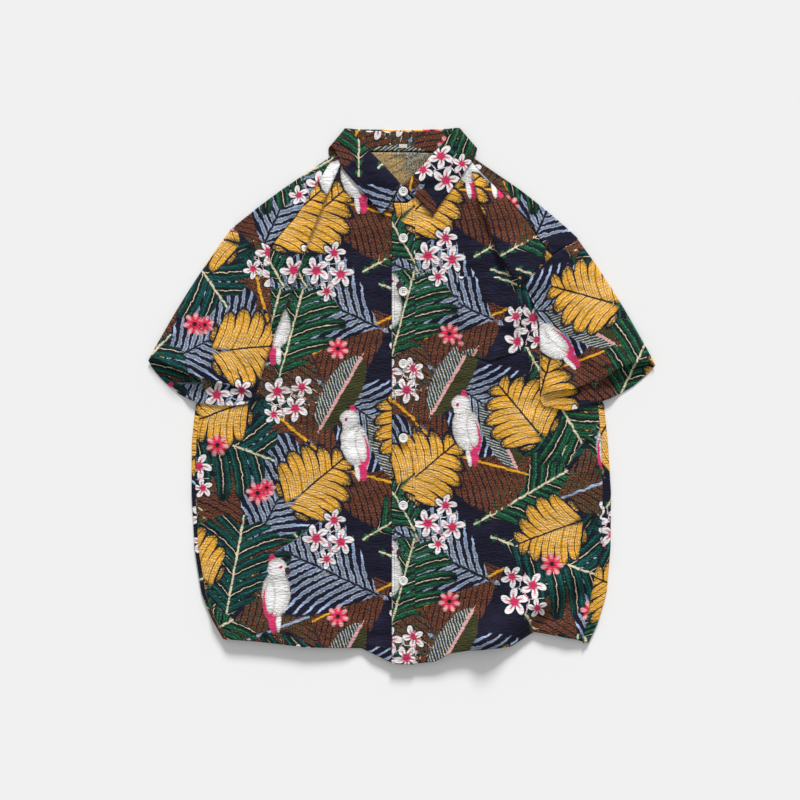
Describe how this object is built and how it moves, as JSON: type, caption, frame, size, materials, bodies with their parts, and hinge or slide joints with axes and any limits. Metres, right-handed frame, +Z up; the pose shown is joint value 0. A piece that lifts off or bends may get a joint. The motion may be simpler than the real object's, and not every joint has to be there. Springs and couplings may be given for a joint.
{
  "type": "hawaiian shirt",
  "caption": "Short-sleeved hawaiian shirt with a tropical leaf, plumeria and cockatoo print, buttoned up and laid flat on its back",
  "frame": {"origin": "centre of the shirt's outline, on the surface it lies on", "axes": "+X is the wearer's left, +Y runs from the hem to the collar, +Z is up, away from the surface"},
  "size_m": [0.6832, 0.7222, 0.0216],
  "materials": {
    "printed_cotton": "matte printed crinkle cotton",
    "label_tape": "matte woven tape",
    "button_resin": "satin moulded resin"
  },
  "bodies": {
    "root": {"back": "printed_cotton", "back_yoke": "printed_cotton", "front_left": "printed_cotton", "front_right": "printed_cotton", "placket": "printed_cotton", "pocket": "printed_cotton", "sleeve_left": "printed_cotton", "sleeve_right": "printed_cotton", "collar_stand": "printed_cotton", "collar_fall": "printed_cotton", "neck_label": "label_tape", "button_collar": "button_resin", "button_1": "button_resin", "button_2": "button_resin", "button_3": "button_resin", "button_4": "button_resin", "button_5": "button_resin", "button_6": "button_resin"}
  },
  "joints": []
}
